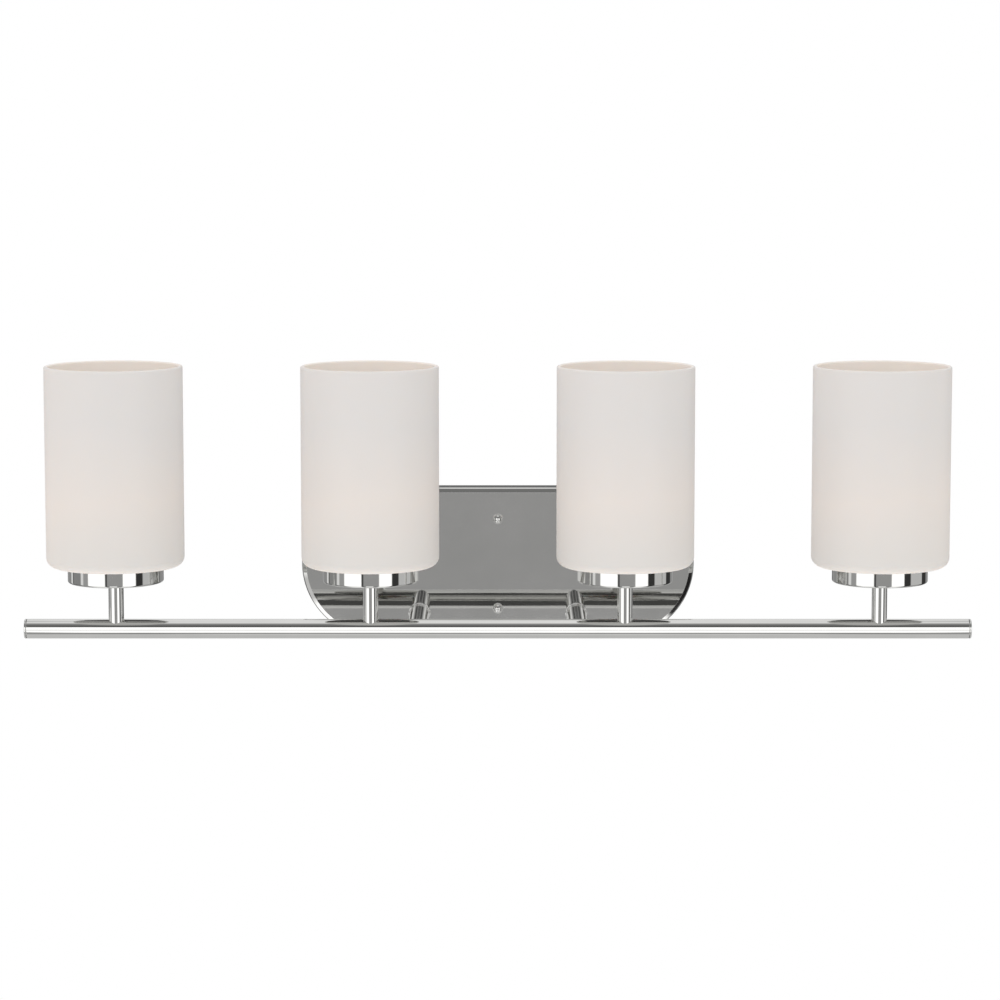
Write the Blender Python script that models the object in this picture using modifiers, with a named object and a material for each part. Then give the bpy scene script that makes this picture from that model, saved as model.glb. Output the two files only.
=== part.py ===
"""Four-light vanity bar: a chrome bar on an obround wall canopy, with open-top opal glass shades.

Metres, +Z up. The wall is the plane Y = 0, and the fixture stands out from it towards -Y. The origin
is on the wall, at the middle of the canopy's outline. Lamps are numbered 1 to 4 along +X.
"""

import math

import bmesh
import bpy
from mathutils import Vector

MM = 0.001
GAP = 0.3 * MM  # clearance where two pieces meet
WELD = 0.001 * MM
QUARTER_TURN = math.pi / 2

# Canopy: a pan of sheet metal with half-round ends, its open side on the wall.
CANOPY_LENGTH = 330 * MM
CANOPY_HEIGHT = 128 * MM
CANOPY_DEPTH = 20 * MM
CANOPY_EDGE = 5 * MM
SHEET = 1.2 * MM
STUD_HEIGHT = 38 * MM  # of each ball nut above or below the canopy's middle
STUD_RADIUS = 2 * MM
BALL_RADIUS = 4 * MM

# Mounting strap: upright, its back face on the wall.
STRAP_LENGTH = 116 * MM
STRAP_WIDTH = 21 * MM
STRAP_THICK = 2.5 * MM
BOX_SLOT = 13 * MM
BOX_SLOT_WIDTH = 4.5 * MM
BOX_SLOT_HEIGHT = 49.5 * MM
GROUND_SCREW_HEIGHT = -14 * MM

# Bar and arms.
BAR_LENGTH = 775 * MM
BAR_RADIUS = 8 * MM
BAR_BORE = 6.5 * MM
BAR_Y = -102 * MM
BAR_Z = -42.4 * MM
PLUG_FACE = 1.5 * MM
PLUG_SPIGOT = 9 * MM
ARM_X = 66 * MM
ARM_RADIUS = 8 * MM
ARM_BORE = 3.5 * MM
ARM_RING_RADIUS = 9.25 * MM
ARM_RING = 2.5 * MM
SPIGOT_RADIUS = 5 * MM
SPIGOT_LENGTH = 9 * MM
LOCKNUT_ACROSS = 16 * MM
LOCKNUT_THICK = 3 * MM

# Lamps: heights are above the bar's axis.
LAMP_PITCH = 208.3 * MM
LAMP_XS = [(number - 1.5) * LAMP_PITCH for number in range(4)]
POST_RADIUS = 6.25 * MM
POST_BORE = 5.3 * MM
NIPPLE_RADIUS = 5 * MM
NIPPLE_BORE = 3.5 * MM
NIPPLE_BOTTOM = 4.4 * MM
NIPPLE_TOP = 46.4 * MM
CUP_RADIUS = 39 * MM
CUP_BOTTOM = 39 * MM
CUP_TOP = 51.7 * MM
CUP_CORNER = 1.6 * MM
SHADE_RADIUS = 56.25 * MM
SHADE_WALL = 3.5 * MM
SHADE_CORNER = 8 * MM
SHADE_HOLE = 21 * MM
SHADE_BOTTOM = CUP_TOP + GAP
SHADE_TOP = 216 * MM
SOCKET_RADIUS = 19.5 * MM
SOCKET_BORE = 14.7 * MM
SOCKET_BOTTOM = CUP_BOTTOM + SHEET + GAP
SOCKET_FLOOR = 54 * MM
SOCKET_TOP = 84.4 * MM
CONTACT_RADIUS = 3.2 * MM
CONTACT_TOP = 56.3 * MM
SHELL_RADIUS = 14.4 * MM
SHELL_BORE = 13.7 * MM
RING_RADIUS = 27 * MM
RING_THICK = 6.5 * MM

# Bulb: 60 mm across and 108 mm long, on a 26 mm screw base.
BULB_RADIUS = 30 * MM
BULB_LENGTH = 108 * MM
BULB_GLASS = 1 * MM
BULB_BOTTOM = CONTACT_TOP + GAP
BULB_TOP = BULB_BOTTOM + BULB_LENGTH
BASE_RADIUS = 13.1 * MM
BASE_SKIN = 1 * MM
BASE_HEIGHT = 26.5 * MM
NECK_RADIUS = 14 * MM

# Leads and wire nuts.
LEAD_RADIUS = 1.3 * MM
LEAD_LANE = 1.6 * MM  # of each lead of a pair, to either side of the pair's middle
LEAD_BEND = 4 * MM
NUT_X = 24 * MM
NUT_Y = -8 * MM
NUT_MOUTH = -30 * MM
NUT_LENGTH = 20 * MM

# Sides of round pieces.
FINE, MIDDLE, COARSE, SMALL = 32, 20, 16, 12

CHROME = ((0.62, 0.63, 0.63), 0.05, 1.0)
ZINC_STEEL = ((0.55, 0.55, 0.53), 0.35, 1.0)
BRASS = ((0.72, 0.52, 0.22), 0.25, 1.0)
NICKEL = ((0.66, 0.65, 0.62), 0.2, 1.0)
OPAL_GLASS = ((0.86, 0.83, 0.8), 0.35, 0.0)
BULB_WHITE = ((0.9, 0.88, 0.83), 0.3, 0.0)
PORCELAIN = ((0.8, 0.78, 0.73), 0.25, 0.0)
LEAD_TIN = ((0.5, 0.5, 0.52), 0.4, 1.0)
LEAD_WHITE = ((0.78, 0.77, 0.74), 0.5, 0.0)
NUT_ORANGE = ((0.75, 0.25, 0.05), 0.45, 0.0)
NUT_YELLOW = ((0.8, 0.6, 0.06), 0.45, 0.0)
GREEN_SCREW = ((0.05, 0.28, 0.1), 0.35, 0.6)

FACING_OUT = (QUARTER_TURN, 0, 0)  # local Z to -Y, away from the wall
ALONG_BAR = (0, QUARTER_TURN, 0)  # local Z to +X


# ---- scene and materials ----


def new_collection(name):
    collection = bpy.data.collections.new(name)
    bpy.context.scene.collection.children.link(collection)
    return collection


def clear_scene():
    for obj in list(bpy.data.objects):
        bpy.data.objects.remove(obj, do_unlink=True)


def add(name, data, finish=None, parent=None, at=(0, 0, 0), turn=(0, 0, 0)):
    """A new piece of the fixture, with its own material."""
    obj = bpy.data.objects.new(name, data)
    PARTS.objects.link(obj)
    obj.location = at
    obj.rotation_euler = turn
    obj.parent = parent
    if finish:
        data.materials.append(material(name, *finish))
    return obj


def material(name, colour, roughness, metallic):
    made = bpy.data.materials.new(name)
    made.use_nodes = True
    shader = made.node_tree.nodes["Principled BSDF"]
    shader.inputs["Base Color"].default_value = (*colour, 1)
    shader.inputs["Roughness"].default_value = roughness
    shader.inputs["Metallic"].default_value = metallic
    return made


# ---- shapes ----


def turned(name, profile, sides, finish=None, parent=None, at=(0, 0, 0), turn=(0, 0, 0)):
    """A solid turned about local Z from (radius, height) points, which run down its outer side.

    A profile that stays off the axis is closed, and makes a ring.
    """
    count = len(profile)
    edges = [(index, index + 1) for index in range(count - 1)]
    if min(radius for radius, height in profile) > 0:
        edges.append((count - 1, 0))
    mesh = bpy.data.meshes.new(name)
    mesh.from_pydata([(radius, 0, height) for radius, height in profile], edges, [])
    obj = add(name, mesh, finish, parent, at, turn)
    screw = obj.modifiers.new("turn", "SCREW")
    screw.steps = screw.render_steps = sides
    screw.use_merge_vertices = True
    screw.merge_threshold = WELD
    return obj


def arc(centre, radius, first, last, steps):
    """Points on a circle, from one angle to another in degrees."""
    angles = [math.radians(first + (last - first) * step / steps) for step in range(steps + 1)]
    return [
        (centre[0] + radius * math.cos(angle), centre[1] + radius * math.sin(angle))
        for angle in angles
    ]


def obround(length, height, steps, upright=False, centre=(0, 0)):
    """Outline with half-round ends, its length along X, or along Y where upright."""
    radius = height / 2
    reach = length / 2 - radius
    points = arc((reach, 0), radius, -90, 90, steps) + arc((-reach, 0), radius, 90, 270, steps)
    if upright:
        points = [(-y, x) for x, y in points]
    return [(centre[0] + x, centre[1] + y) for x, y in points]


def round_hole(radius, centre=(0, 0), sides=COARSE):
    return arc(centre, radius, 0, 360 - 360 / sides, sides - 1)


def sheet(name, outlines, thickness, finish, fill="BOTH", at=(0, 0, 0)):
    """Flat stock cut to the first outline, less the others, facing out with its middle at a point."""
    curve = bpy.data.curves.new(name, "CURVE")
    curve.dimensions = "2D"
    curve.fill_mode = fill
    curve.extrude = thickness / 2
    for outline in outlines:
        spline = curve.splines.new("POLY")
        spline.points.add(len(outline) - 1)
        for point, (x, y) in zip(spline.points, outline):
            point.co = (x, y, 0, 1)
        spline.use_cyclic_u = True
    guide = add(name + "_outline", curve)
    bpy.context.view_layer.update()
    graph = bpy.context.evaluated_depsgraph_get()
    mesh = bpy.data.meshes.new_from_object(guide.evaluated_get(graph))
    bpy.data.objects.remove(guide, do_unlink=True)
    welded = bmesh.new()
    welded.from_mesh(mesh)
    bmesh.ops.remove_doubles(welded, verts=welded.verts, dist=WELD)
    if len(outlines) == 1:  # one face without holes, so that its edges can be rolled
        bmesh.ops.dissolve_limit(
            welded, angle_limit=math.radians(1), verts=welded.verts, edges=welded.edges
        )
    welded.to_mesh(mesh)
    welded.free()
    return add(name, mesh, finish, at=at, turn=FACING_OUT)


def cylinder_cutter(name, radius, length, at, turn=(0, 0, 0), sides=COARSE):
    """A hidden cylinder, centred on a point, for cutting pieces."""
    mesh = bpy.data.meshes.new(name)
    shape = bmesh.new()
    bmesh.ops.create_cone(
        shape, cap_ends=True, segments=sides, radius1=radius, radius2=radius, depth=length
    )
    shape.to_mesh(mesh)
    shape.free()
    cutter = bpy.data.objects.new(name, mesh)
    CUTTERS.objects.link(cutter)
    cutter.location = at
    cutter.rotation_euler = turn
    cutter.hide_render = True
    cutter.display_type = "WIRE"
    return cutter


def cut(obj, cutter):
    boolean = obj.modifiers.new("cut " + cutter.name, "BOOLEAN")
    boolean.operation = "DIFFERENCE"
    boolean.object = cutter


def bent(corners, radius, steps=4):
    """A path through corner points, each inner corner rounded off."""
    corners = [Vector(corner) for corner in corners]
    path = [corners[0]]
    for before, corner, after in zip(corners, corners[1:], corners[2:]):
        start = corner + (before - corner).normalized() * radius
        end = corner + (after - corner).normalized() * radius
        for step in range(steps + 1):
            along = step / steps
            path.append(start.lerp(corner, along).lerp(corner.lerp(end, along), along))
    return path + [corners[-1]]


def wire(name, path, radius, finish):
    """A round wire along a path, its ends capped."""
    curve = bpy.data.curves.new(name, "CURVE")
    curve.dimensions = "3D"
    curve.bevel_depth = radius
    curve.bevel_resolution = 1
    curve.use_fill_caps = True
    spline = curve.splines.new("POLY")
    spline.points.add(len(path) - 1)
    for point, position in zip(spline.points, path):
        point.co = (*position, 1)
    return add(name, curve, finish)


# ---- wall side ----


def make_canopy():
    outline = obround(CANOPY_LENGTH, CANOPY_HEIGHT, 16)
    canopy = sheet("canopy", [outline], CANOPY_DEPTH, CHROME, "FRONT", (0, -CANOPY_DEPTH / 2, 0))
    edge = canopy.modifiers.new("rolled edge", "BEVEL")
    edge.width = CANOPY_EDGE
    edge.segments = 3
    edge.limit_method = "ANGLE"
    edge.angle_limit = math.radians(60)
    wall = canopy.modifiers.new("sheet", "SOLIDIFY")
    wall.thickness = SHEET
    wall.offset = -1
    front = -CANOPY_DEPTH + SHEET / 2
    for label, sign in (("upper", 1), ("lower", -1)):
        at = (0, front, sign * STUD_HEIGHT)
        hole = cylinder_cutter(
            "stud_hole_" + label, STUD_RADIUS + GAP, 4 * SHEET, at, FACING_OUT, SMALL
        )
        cut(canopy, hole)
    for label, sign in (("left", -1), ("right", 1)):
        at = (sign * ARM_X, front, BAR_Z)
        hole = cylinder_cutter("arm_hole_" + label, SPIGOT_RADIUS + GAP, 4 * SHEET, at, FACING_OUT)
        cut(canopy, hole)


def make_strap():
    outlines = [obround(STRAP_LENGTH, STRAP_WIDTH, 6, upright=True)]
    for sign in (1, -1):
        outlines.append(round_hole(STUD_RADIUS + GAP, (0, sign * STUD_HEIGHT), SMALL))
        slot_centre = (0, sign * BOX_SLOT_HEIGHT)
        outlines.append(obround(BOX_SLOT, BOX_SLOT_WIDTH, 4, upright=True, centre=slot_centre))
    outlines.append(round_hole(STUD_RADIUS + GAP, (0, GROUND_SCREW_HEIGHT), SMALL))
    sheet("mounting_strap", outlines, STRAP_THICK, ZINC_STEEL, at=(0, -STRAP_THICK / 2, 0))


def make_strap_hardware():
    """Studs and ball nuts that hold the canopy to the strap, and the ground screw."""
    stud_tip = CANOPY_DEPTH + BALL_RADIUS
    seat = CANOPY_DEPTH + GAP
    drilled = BALL_RADIUS * 1.3
    # The ball's flat seat is wider than its bore, and lies on the canopy.
    seat_angle = -45
    ball_centre = -BALL_RADIUS * math.sin(math.radians(seat_angle))
    for label, sign in (("upper", 1), ("lower", -1)):
        height = sign * STUD_HEIGHT
        turned(
            "canopy_stud_" + label,
            [(0, stud_tip), (STUD_RADIUS, stud_tip), (STUD_RADIUS, GAP), (0, GAP)],
            SMALL,
            ZINC_STEEL,
            at=(0, 0, height),
            turn=FACING_OUT,
        )
        ball = arc((0, ball_centre), BALL_RADIUS, 90, seat_angle, 6)
        ball[0] = (0, ball_centre + BALL_RADIUS)
        bore = STUD_RADIUS + GAP
        ball[-1] = (ball[-1][0], 0)
        turned(
            "ball_nut_" + label,
            ball + [(bore, 0), (bore, drilled), (0, drilled)],
            SMALL,
            CHROME,
            at=(0, -seat, height),
            turn=FACING_OUT,
        )
    head_base = STRAP_THICK + GAP
    head_top = head_base + 2.5 * MM
    turned(
        "ground_screw",
        [
            (0, head_top),
            (3.6 * MM, head_top),
            (4 * MM, head_top - 0.6 * MM),
            (4 * MM, head_base),
            (STUD_RADIUS, head_base),
            (STUD_RADIUS, GAP),
            (0, GAP),
        ],
        SMALL,
        GREEN_SCREW,
        at=(0, 0, GROUND_SCREW_HEIGHT),
        turn=FACING_OUT,
    )


def make_wire_nuts():
    """Blind plastic caps with their mouths down, one each side of the strap."""
    mouth, tip, bore, depth = 5 * MM, 3.4 * MM, 4 * MM, 8 * MM
    for label, sign, finish in (("live", -1, NUT_ORANGE), ("neutral", 1, NUT_YELLOW)):
        turned(
            "wire_nut_" + label,
            [
                (0, NUT_LENGTH),
                (tip, NUT_LENGTH),
                (mouth, 0.35 * NUT_LENGTH),
                (mouth, 0),
                (bore, 0),
                (bore, depth),
                (0, depth),
            ],
            SMALL,
            finish,
            at=(sign * NUT_X, NUT_Y, NUT_MOUTH),
        )


# ---- bar and arms ----


def make_bar():
    half = BAR_LENGTH / 2 - PLUG_FACE - GAP
    bar = turned(
        "bar_tube",
        [(BAR_RADIUS, half), (BAR_RADIUS, -half), (BAR_BORE, -half), (BAR_BORE, half)],
        MIDDLE,
        CHROME,
        at=(0, BAR_Y, BAR_Z),
        turn=ALONG_BAR,
    )
    for number, x in enumerate(LAMP_XS, 1):
        at = (x, BAR_Y, BAR_Z + BAR_RADIUS)
        hole = cylinder_cutter(f"nipple_hole_{number}", NIPPLE_RADIUS + GAP, 2 * BAR_RADIUS, at)
        cut(bar, hole)
    for label, sign in (("left", -1), ("right", 1)):
        at = (sign * ARM_X, BAR_Y + BAR_RADIUS, BAR_Z)
        hole = cylinder_cutter("lead_hole_" + label, ARM_BORE + GAP, 2 * BAR_RADIUS, at, FACING_OUT)
        cut(bar, hole)
        face = BAR_LENGTH / 2
        inner = face - PLUG_FACE
        stub = BAR_BORE - GAP
        turned(
            "bar_end_plug_" + label,
            [
                (0, face),
                (BAR_RADIUS - 0.4 * MM, face),
                (BAR_RADIUS, face - 0.4 * MM),
                (BAR_RADIUS, inner),
                (stub, inner),
                (stub, inner - PLUG_SPIGOT),
                (0, inner - PLUG_SPIGOT),
            ],
            MIDDLE,
            CHROME,
            at=(0, BAR_Y, BAR_Z),
            turn=(0, sign * QUARTER_TURN, 0),
        )


def make_arms(bar_clearance):
    """Arms that screw into the canopy by a hollow spigot, their outer ends coped to the bar."""
    base = -CANOPY_DEPTH - GAP
    reach = base - BAR_Y
    hexagon = arc((0, 0), LOCKNUT_ACROSS / math.sqrt(3), 0, 300, 5)
    for label, sign in (("left", -1), ("right", 1)):
        arm = turned(
            "arm_" + label,
            [
                (ARM_RADIUS, reach),
                (ARM_RADIUS, ARM_RING),
                (ARM_RING_RADIUS, ARM_RING),
                (ARM_RING_RADIUS, 0),
                (SPIGOT_RADIUS, 0),
                (SPIGOT_RADIUS, -SPIGOT_LENGTH),
                (ARM_BORE, -SPIGOT_LENGTH),
                (ARM_BORE, reach),
            ],
            MIDDLE,
            CHROME,
            at=(sign * ARM_X, base, BAR_Z),
            turn=FACING_OUT,
        )
        cut(arm, bar_clearance)
        inside = -CANOPY_DEPTH + SHEET + GAP + LOCKNUT_THICK / 2
        sheet(
            "arm_locknut_" + label,
            [hexagon, round_hole(SPIGOT_RADIUS + GAP)],
            LOCKNUT_THICK,
            ZINC_STEEL,
            at=(sign * ARM_X, inside, BAR_Z),
        )


# ---- lamps ----


def make_shade_support(number, lamp, bar_clearance):
    """The post on the bar, the nipple through it and the cup on top."""
    post_top = CUP_BOTTOM - GAP
    post = turned(
        f"post_{number}",
        [(POST_RADIUS, post_top), (POST_RADIUS, 0), (POST_BORE, 0), (POST_BORE, post_top)],
        COARSE,
        CHROME,
        lamp,
    )
    cut(post, bar_clearance)
    turned(
        f"nipple_{number}",
        [
            (NIPPLE_RADIUS, NIPPLE_TOP),
            (NIPPLE_RADIUS, NIPPLE_BOTTOM),
            (NIPPLE_BORE, NIPPLE_BOTTOM),
            (NIPPLE_BORE, NIPPLE_TOP),
        ],
        SMALL,
        ZINC_STEEL,
        lamp,
    )
    inner = CUP_RADIUS - SHEET
    floor = CUP_BOTTOM + SHEET
    corner = (CUP_RADIUS - CUP_CORNER, CUP_BOTTOM + CUP_CORNER)
    turned(
        f"shade_cup_{number}",
        [(CUP_RADIUS, CUP_TOP)]
        + arc(corner, CUP_CORNER, 0, -90, 2)
        + [(POST_BORE, CUP_BOTTOM), (POST_BORE, floor), (inner, floor), (inner, CUP_TOP)],
        FINE,
        CHROME,
        lamp,
    )


def make_shade(number, lamp):
    """Opal glass: a tumbler shape with a hole in its floor for the socket."""
    inner = SHADE_RADIUS - SHADE_WALL
    floor = SHADE_BOTTOM + SHADE_WALL
    centre = (SHADE_RADIUS - SHADE_CORNER, SHADE_BOTTOM + SHADE_CORNER)
    outer_corner = arc(centre, SHADE_CORNER, 0, -90, 3)
    inner_corner = arc(centre, SHADE_CORNER - SHADE_WALL, -90, 0, 2)
    turned(
        f"glass_shade_{number}",
        [(SHADE_RADIUS, SHADE_TOP)]
        + outer_corner
        + [(SHADE_HOLE, SHADE_BOTTOM), (SHADE_HOLE, floor)]
        + inner_corner
        + [(inner, SHADE_TOP)],
        FINE,
        OPAL_GLASS,
        lamp,
    )


def make_socket(number, lamp):
    """Lampholder body with its centre contact boss, its screw shell, and the ring that clamps the glass."""
    turned(
        f"socket_{number}",
        [
            (0, CONTACT_TOP),
            (CONTACT_RADIUS, CONTACT_TOP),
            (CONTACT_RADIUS, SOCKET_FLOOR),
            (SOCKET_BORE, SOCKET_FLOOR),
            (SOCKET_BORE, SOCKET_TOP),
            (SOCKET_RADIUS, SOCKET_TOP),
            (SOCKET_RADIUS, SOCKET_BOTTOM),
            (POST_BORE, SOCKET_BOTTOM),
            (POST_BORE, SOCKET_BOTTOM + 10 * MM),
            (0, SOCKET_BOTTOM + 10 * MM),
        ],
        COARSE,
        PORCELAIN,
        lamp,
    )
    shell_top = SOCKET_TOP - 2 * MM
    shell_bottom = SOCKET_FLOOR + 4 * MM
    turned(
        f"screw_shell_{number}",
        [
            (SHELL_RADIUS, shell_top),
            (SHELL_RADIUS, shell_bottom),
            (SHELL_BORE, shell_bottom),
            (SHELL_BORE, shell_top),
        ],
        COARSE,
        BRASS,
        lamp,
    )
    ring_bottom = SHADE_BOTTOM + SHADE_WALL + GAP
    ring_top = ring_bottom + RING_THICK
    ring_bore = SOCKET_RADIUS + GAP
    turned(
        f"shade_ring_{number}",
        [
            (RING_RADIUS, ring_top),
            (RING_RADIUS, ring_bottom),
            (ring_bore, ring_bottom),
            (ring_bore, ring_top),
        ],
        COARSE,
        CHROME,
        lamp,
    )


def bulb_outline(radius, top, neck_radius, neck_height, steps):
    """Half outline of a pear-shaped bulb: a half circle on a neck that swells smoothly into it."""
    centre = top - radius
    outline = arc((0, centre), radius, 90, 0, steps)
    outline[0] = (0, top)
    for step in range(1, steps + 1):
        along = step / steps
        swell = math.cos(along * QUARTER_TURN) ** 2
        height = centre + (neck_height - centre) * along
        outline.append((neck_radius + (radius - neck_radius) * swell, height))
    return outline


def make_bulb(number, bulb):
    """Contact button, screw base and glass, all turned about the axis that the bulb screws on."""
    button_top = BULB_BOTTOM + 2.2 * MM
    turned(
        f"bulb_contact_{number}",
        [(0, button_top), (4.2 * MM, button_top), (3 * MM, BULB_BOTTOM), (0, BULB_BOTTOM)],
        SMALL,
        LEAD_TIN,
        bulb,
    )
    base_bottom = button_top + GAP
    base_top = BULB_BOTTOM + BASE_HEIGHT
    base_inner = BASE_RADIUS - BASE_SKIN
    base_floor = base_bottom + 4 * MM
    turned(
        f"bulb_base_{number}",
        [
            (0, base_floor),
            (base_inner, base_floor),
            (base_inner, base_top),
            (BASE_RADIUS, base_top),
            (BASE_RADIUS, base_bottom + 3 * MM),
            (6 * MM, base_bottom),
            (0, base_bottom),
        ],
        COARSE,
        NICKEL,
        bulb,
    )
    stem = base_inner - GAP
    stem_bottom = base_top - 10 * MM
    shoulder = base_top + 2 * GAP
    neck = base_top + 2.5 * MM
    outer = bulb_outline(BULB_RADIUS, BULB_TOP, NECK_RADIUS, neck, 4)
    inner = bulb_outline(
        BULB_RADIUS - BULB_GLASS, BULB_TOP - BULB_GLASS, stem - BULB_GLASS, shoulder, 4
    )
    turned(
        f"bulb_glass_{number}",
        outer
        + [(stem, shoulder), (stem, stem_bottom), (stem - BULB_GLASS, stem_bottom)]
        + inner[::-1],
        COARSE,
        BULB_WHITE,
        bulb,
    )


def make_lead(number, x):
    """Insulated lead: down the nipple, along the bar, back through an arm and up into a wire nut."""
    side = math.copysign(1, x)
    # An inner lamp's lead runs above an outer one's, and turns up into the nut before it.
    lane = 1 if abs(x) < LAMP_PITCH else -1
    height = BAR_Z + lane * LEAD_LANE
    nut_x = side * (NUT_X + lane * LEAD_LANE)
    corners = [
        (x, BAR_Y, BAR_Z + NIPPLE_TOP + 2 * MM),
        (x, BAR_Y, height),
        (side * ARM_X, BAR_Y, height),
        (side * ARM_X, NUT_Y, height),
        (nut_x, NUT_Y, height),
        (nut_x, NUT_Y, NUT_MOUTH + 6 * MM),
    ]
    wire(f"lead_{number}", bent(corners, LEAD_BEND), LEAD_RADIUS, LEAD_WHITE)


def make_lamp(number, x, bar_clearance):
    lamp = add(f"lamp_{number}", None, at=(x, BAR_Y, BAR_Z))
    bulb = add(f"bulb_{number}", None, parent=lamp)
    make_shade_support(number, lamp, bar_clearance)
    make_shade(number, lamp)
    make_socket(number, lamp)
    make_bulb(number, bulb)
    make_lead(number, x)


# ---- finishing ----


def apply_and_shade():
    """Applies each mesh piece's modifiers, then shades it smooth between its sharp edges."""
    bpy.context.view_layer.update()
    graph = bpy.context.evaluated_depsgraph_get()
    pieces = [obj for obj in PARTS.objects if obj.type == "MESH"]
    made = {obj: bpy.data.meshes.new_from_object(obj.evaluated_get(graph)) for obj in pieces}
    for obj, mesh in made.items():
        obj.modifiers.clear()
        obj.data = mesh
        mesh.name = obj.name
        mesh.shade_smooth()
        mesh.set_sharp_from_angle(angle=math.radians(32))


clear_scene()
PARTS = new_collection("vanity_light_bar")
CUTTERS = new_collection("cutters")

make_canopy()
make_strap()
make_strap_hardware()
make_wire_nuts()
clearance = cylinder_cutter(
    "bar_clearance", BAR_RADIUS + GAP, BAR_LENGTH, (0, BAR_Y, BAR_Z), ALONG_BAR, MIDDLE
)
make_bar()
make_arms(clearance)
for lamp_number, lamp_x in enumerate(LAMP_XS, 1):
    make_lamp(lamp_number, lamp_x, clearance)
apply_and_shade()
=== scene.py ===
"""Looks of the four-light vanity bar: polished chrome, opal glass and the hardware inside.

Metres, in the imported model's frame: the wall is the plane Y = 0, and the fixture faces -Y.
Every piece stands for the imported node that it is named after, and takes its place from that node's box.
"""

import math

import bmesh
import bpy
import numpy as np
from mathutils import Matrix, Vector
from mathutils.bvhtree import BVHTree
from mathutils.kdtree import KDTree


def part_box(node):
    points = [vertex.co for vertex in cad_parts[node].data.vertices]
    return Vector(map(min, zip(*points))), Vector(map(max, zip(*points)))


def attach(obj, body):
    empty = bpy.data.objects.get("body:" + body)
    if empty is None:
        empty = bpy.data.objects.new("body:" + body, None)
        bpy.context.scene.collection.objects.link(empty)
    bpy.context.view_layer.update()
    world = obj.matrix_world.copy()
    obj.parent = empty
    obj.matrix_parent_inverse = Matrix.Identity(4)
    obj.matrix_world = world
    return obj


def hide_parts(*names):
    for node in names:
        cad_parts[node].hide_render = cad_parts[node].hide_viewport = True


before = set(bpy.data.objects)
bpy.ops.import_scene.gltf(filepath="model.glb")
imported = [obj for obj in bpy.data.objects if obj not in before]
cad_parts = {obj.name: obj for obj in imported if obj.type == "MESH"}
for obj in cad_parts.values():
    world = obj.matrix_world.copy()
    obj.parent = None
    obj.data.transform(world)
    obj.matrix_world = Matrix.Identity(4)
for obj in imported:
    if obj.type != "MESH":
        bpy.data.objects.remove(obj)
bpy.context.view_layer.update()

MM = 0.001
TURN = 2 * math.pi
LAMPS = (1, 2, 3, 4)
SIDES = (("left", -1), ("right", 1))
HEIGHTS = (("upper", 1), ("lower", -1))
FACING_OUT = (math.pi / 2, 0, 0)  # local Z to -Y, away from the wall
FIXTURE = "fixture"

SHEET = 1.2 * MM  # wall of the canopy and of the cups
FIT = 0.3 * MM  # clearance where two pieces meet
TOUCH = 0.02 * MM  # clearance where two pieces seem to touch
BAR_BORE = 6.5 * MM
ARM_BORE = 3.5 * MM
STUD_RADIUS = 2 * MM
STUD_THREAD, STUD_PITCH = 0.3 * MM, 0.7 * MM  # depth, and rise in one turn
NUT_BORE = 2.3 * MM
SPIGOT_RADIUS = 5 * MM
NIPPLE_RADIUS = 5 * MM
NIPPLE_BORE = 3.5 * MM
POST_BORE = 5.3 * MM
GLASS_WALL = 3.5 * MM
LEAD_RADIUS, LEAD_LANE = 1.3 * MM, 1.6 * MM  # sleeve, and its distance off the bar's axis
THREAD_DEPTH = 0.75 * MM  # of the screw of a bulb and its shell
LAMP_THREAD = 0.000577573 * TURN  # rise of a bulb in one turn, as its packed joints couple it


# ---- where things are ----


def middle(node):
    low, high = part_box(node)
    return (low + high) / 2


def width(node, axis=0):
    low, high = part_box(node)
    return high[axis] - low[axis]


BAR_Y, BAR_Z = middle("bar_tube").yz
BAR_RADIUS = width("bar_tube", 2) / 2
CANOPY_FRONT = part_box("canopy")[0].y
STUD_HEIGHT = middle("canopy_stud_upper").z
ARM_X = middle("arm_right").x


def heights(node):
    """Lowest and highest point of a lamp's piece above the bar's axis."""
    low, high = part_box(node)
    return low.z - BAR_Z, high.z - BAR_Z


# ---- turned shapes ----


def unit(vector):
    return vector / np.linalg.norm(vector)


def outline(corners, closed):
    """Points of a half section, and the way that each faces.

    A corner is (radius, height, rounding). One with no rounding is a point of a smooth curve.
    """
    places = [np.array(corner[:2], float) for corner in corners]
    last = len(places) - 1
    points, facing = [], []
    for index, here in enumerate(places):
        rounding = corners[index][2] if len(corners[index]) > 2 else 0
        way_in = way_out = None
        if closed or index > 0:
            way_in = unit(here - places[index - 1])
        if closed or index < last:
            way_out = unit(places[(index + 1) % (last + 1)] - here)
        way_in = way_out if way_in is None else way_in
        way_out = way_in if way_out is None else way_out
        out_before = np.array((-way_in[1], way_in[0]))
        out_after = np.array((-way_out[1], way_out[0]))
        bend = math.atan2(way_in[0] * way_out[1] - way_in[1] * way_out[0], way_in @ way_out)
        if not rounding or abs(bend) < 1e-6:
            points.append(here)
            facing.append(unit(out_before + out_after))
            continue
        side = 1 if bend < 0 else -1
        start = here - way_in * rounding * abs(math.tan(bend / 2))
        centre = start - side * rounding * out_before
        steps = max(2, math.ceil(abs(bend) / math.radians(15)))
        for step in range(steps + 1):
            cos, sin = math.cos(bend * step / steps), math.sin(bend * step / steps)
            out = np.array(((cos, -sin), (sin, cos))) @ out_before
            points.append(centre + side * rounding * out)
            facing.append(out)
    return np.array(points), np.array(facing)


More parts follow.
